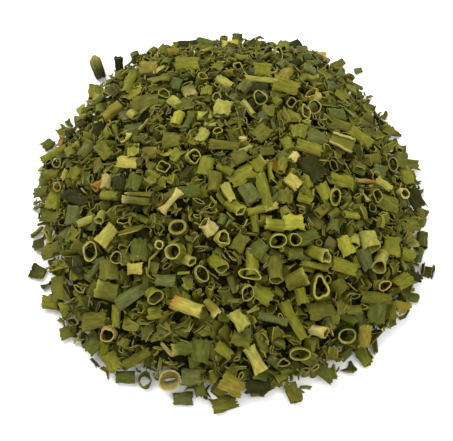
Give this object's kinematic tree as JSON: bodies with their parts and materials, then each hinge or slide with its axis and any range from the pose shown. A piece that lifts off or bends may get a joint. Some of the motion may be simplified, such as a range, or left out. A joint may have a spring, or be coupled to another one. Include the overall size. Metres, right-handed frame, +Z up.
{
  "type": "heap of cut dried chives",
  "caption": "Low round heap of dried chives cut into short hollow rings and tubes, with loose cuts on top and strays round its foot.",
  "frame": {"origin": "middle of the heap's bounding box, on the surface that it lies on", "axes": "+Z up, +X to the right and +Y away as the heap is seen from its front"},
  "size_m": [0.1034, 0.1096, 0.029],
  "materials": {
    "dark_green_leaf": "matt dry leaf, dark olive green with fine lengthwise veins",
    "olive_leaf": "matt dry leaf, olive green with fine lengthwise veins",
    "yellow_green_leaf": "matt dry leaf, yellow green, slightly waxy",
    "straw_leaf": "matt dry leaf base, straw yellow and ribbed",
    "cream_leaf": "matt dry leaf base, pale cream with worn cut edges",
    "blue_green_leaf": "matt dry leaf, greyish blue green"
  },
  "bodies": {
    "root": {"crown_clump": "olive_leaf", "upper_clump_01": "yellow_green_leaf", "upper_clump_02": "dark_green_leaf", "upper_clump_03": "blue_green_leaf", "upper_clump_04": "olive_leaf", "upper_clump_05": "olive_leaf", "upper_clump_06": "yellow_green_leaf", "slope_clump_01": "olive_leaf", "slope_clump_02": "olive_leaf", "slope_clump_03": "yellow_green_leaf", "slope_clump_04": "dark_green_leaf", "slope_clump_05": "blue_green_leaf", "slope_clump_06": "olive_leaf", "slope_clump_07": "olive_leaf", "slope_clump_08": "yellow_green_leaf", "slope_clump_09": "dark_green_leaf", "slope_clump_10": "blue_green_leaf", "foot_clump_01": "yellow_green_leaf", "foot_clump_02": "dark_green_leaf", "foot_clump_03": "blue_green_leaf", "foot_clump_04": "olive_leaf", "foot_clump_05": "olive_leaf", "foot_clump_06": "yellow_green_leaf", "foot_clump_07": "dark_green_leaf", "foot_clump_08": "blue_green_leaf", "foot_clump_09": "olive_leaf", "foot_clump_10": "olive_leaf", "foot_clump_11": "yellow_green_leaf", "foot_clump_12": "dark_green_leaf", "foot_clump_13": "blue_green_leaf", "foot_clump_14": "olive_leaf", "foot_clump_15": "olive_leaf", "foot_clump_16": "yellow_green_leaf", "straw_cut_left": "straw_leaf", "brown_tipped_straw_cut": "straw_leaf", "thick_ring_cut": "yellow_green_leaf", "teardrop_cut": "yellow_green_leaf", "cream_square_cut": "cream_leaf", "small_straw_cut": "straw_leaf", "waisted_straw_cut": "straw_leaf", "split_green_cut": "olive_leaf", "straw_cut_front": "straw_leaf", "folded_straw_cut_front": "straw_leaf", "yellow_green_cut_right": "yellow_green_leaf", "open_fold_cut": "olive_leaf", "ring_ended_cut": "yellow_green_leaf", "bright_cut_right": "straw_leaf", "long_cut_right": "yellow_green_leaf", "cream_fold_cut": "cream_leaf", "yellow_green_cut_back": "yellow_green_leaf", "stray_flat_cut_left": "dark_green_leaf", "stray_flat_cut_front": "blue_green_leaf", "stray_tube_front": "yellow_green_leaf", "stray_ring_front": "olive_leaf", "pale_ring_front": "cream_leaf", "stray_long_cut_back": "yellow_green_leaf", "stray_tube_back": "dark_green_leaf", "stray_ragged_cut_right": "dark_green_leaf", "stray_tube_right": "blue_green_leaf", "stray_flake_back": "olive_leaf"}
  },
  "joints": []
}
